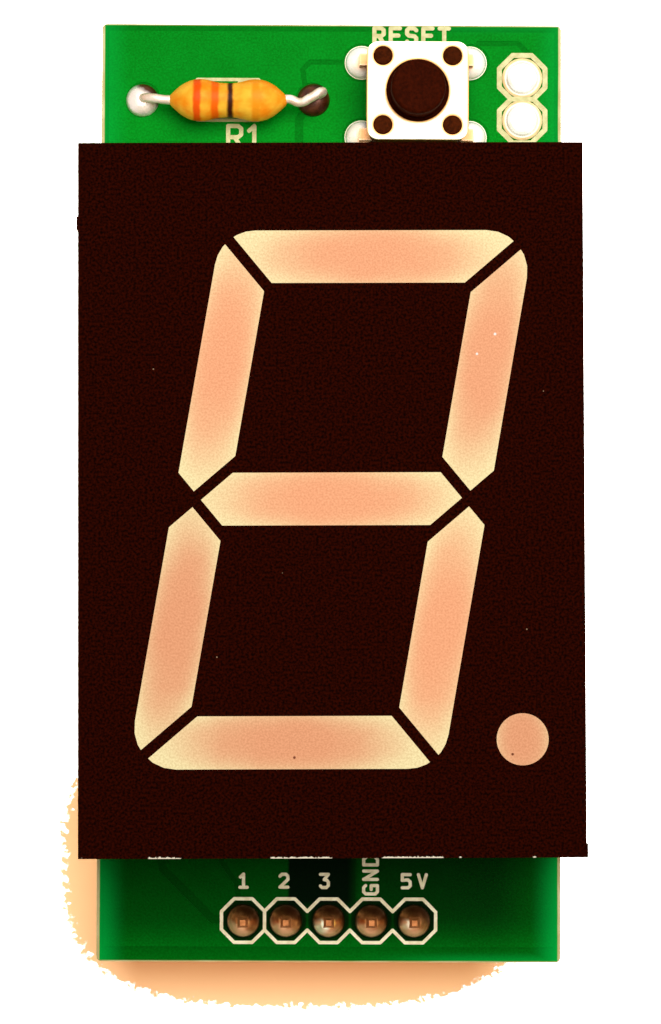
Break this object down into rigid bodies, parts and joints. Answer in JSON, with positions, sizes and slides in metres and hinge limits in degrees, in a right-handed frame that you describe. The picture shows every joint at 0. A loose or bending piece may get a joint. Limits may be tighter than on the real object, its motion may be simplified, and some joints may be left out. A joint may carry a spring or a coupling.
{
  "type": "seven segment display module",
  "caption": "Seven segment digit display on a small circuit board with driver chip, reset push button, resistor and pin header.",
  "frame": {"origin": "centre of the circuit board's outline, at the level of the header pins' tips", "axes": "+Z is the way the digit faces, +Y runs along the board towards the top of the digit, +X is to the digit's right"},
  "size_m": [0.0287, 0.056, 0.022],
  "materials": {
    "board_laminate": "green solder mask over glass laminate, satin gloss",
    "housing_plastic": "white moulded plastic, fine matt",
    "face_coat": "very dark brown coat, dull with fine grain",
    "segment_resin": "milky resin, peach, faintly clouded",
    "led_die": "bare light-emitting chips",
    "substrate_laminate": "bare laminate",
    "pin_metal": "tinned, bright",
    "solder": "bright solder",
    "header_solder": "solder with brown flux film",
    "chip_plastic": "dark moulding compound, matt",
    "switch_base_plastic": "dark plastic",
    "switch_cover_metal": "bright pressed sheet",
    "plunger_plastic": "dark brown plastic, satin",
    "spring_metal": "thin spring sheet",
    "resistor_coat": "tan lacquer with colour bands",
    "header_plastic": "black glass-filled plastic",
    "header_metal": "thin gold plate"
  },
  "bodies": {
    "module": {"circuit_board": "board_laminate", "display_housing": "housing_plastic", "face_coat": "face_coat", "segment_a": "segment_resin", "segment_b": "segment_resin", "segment_c": "segment_resin", "segment_d": "segment_resin", "segment_e": "segment_resin", "segment_f": "segment_resin", "segment_g": "segment_resin", "decimal_point": "segment_resin", "led_chips": "led_die", "display_substrate": "substrate_laminate", "display_pins": "pin_metal", "display_solder": "solder", "chip_body": "chip_plastic", "chip_leads": "pin_metal", "chip_solder": "solder", "switch_base": "switch_base_plastic", "switch_cover": "switch_cover_metal", "switch_dome": "spring_metal", "switch_contacts": "pin_metal", "switch_solder": "solder", "resistor_body": "resistor_coat", "resistor_leads": "pin_metal", "resistor_solder": "solder", "header_strip": "header_plastic", "header_pins": "header_metal", "header_solder": "header_solder", "pad_solder": "solder"},
    "button": {"switch_plunger": "plunger_plastic"}
  },
  "joints": [
    {"name": "reset_press", "type": "slide", "parent": "module", "child": "button", "axis": [0, 0, -1], "range_m": [0, 0.00025], "stiffness_N_per_m": 6400, "deforming": ["switch_dome"]}
  ]
}
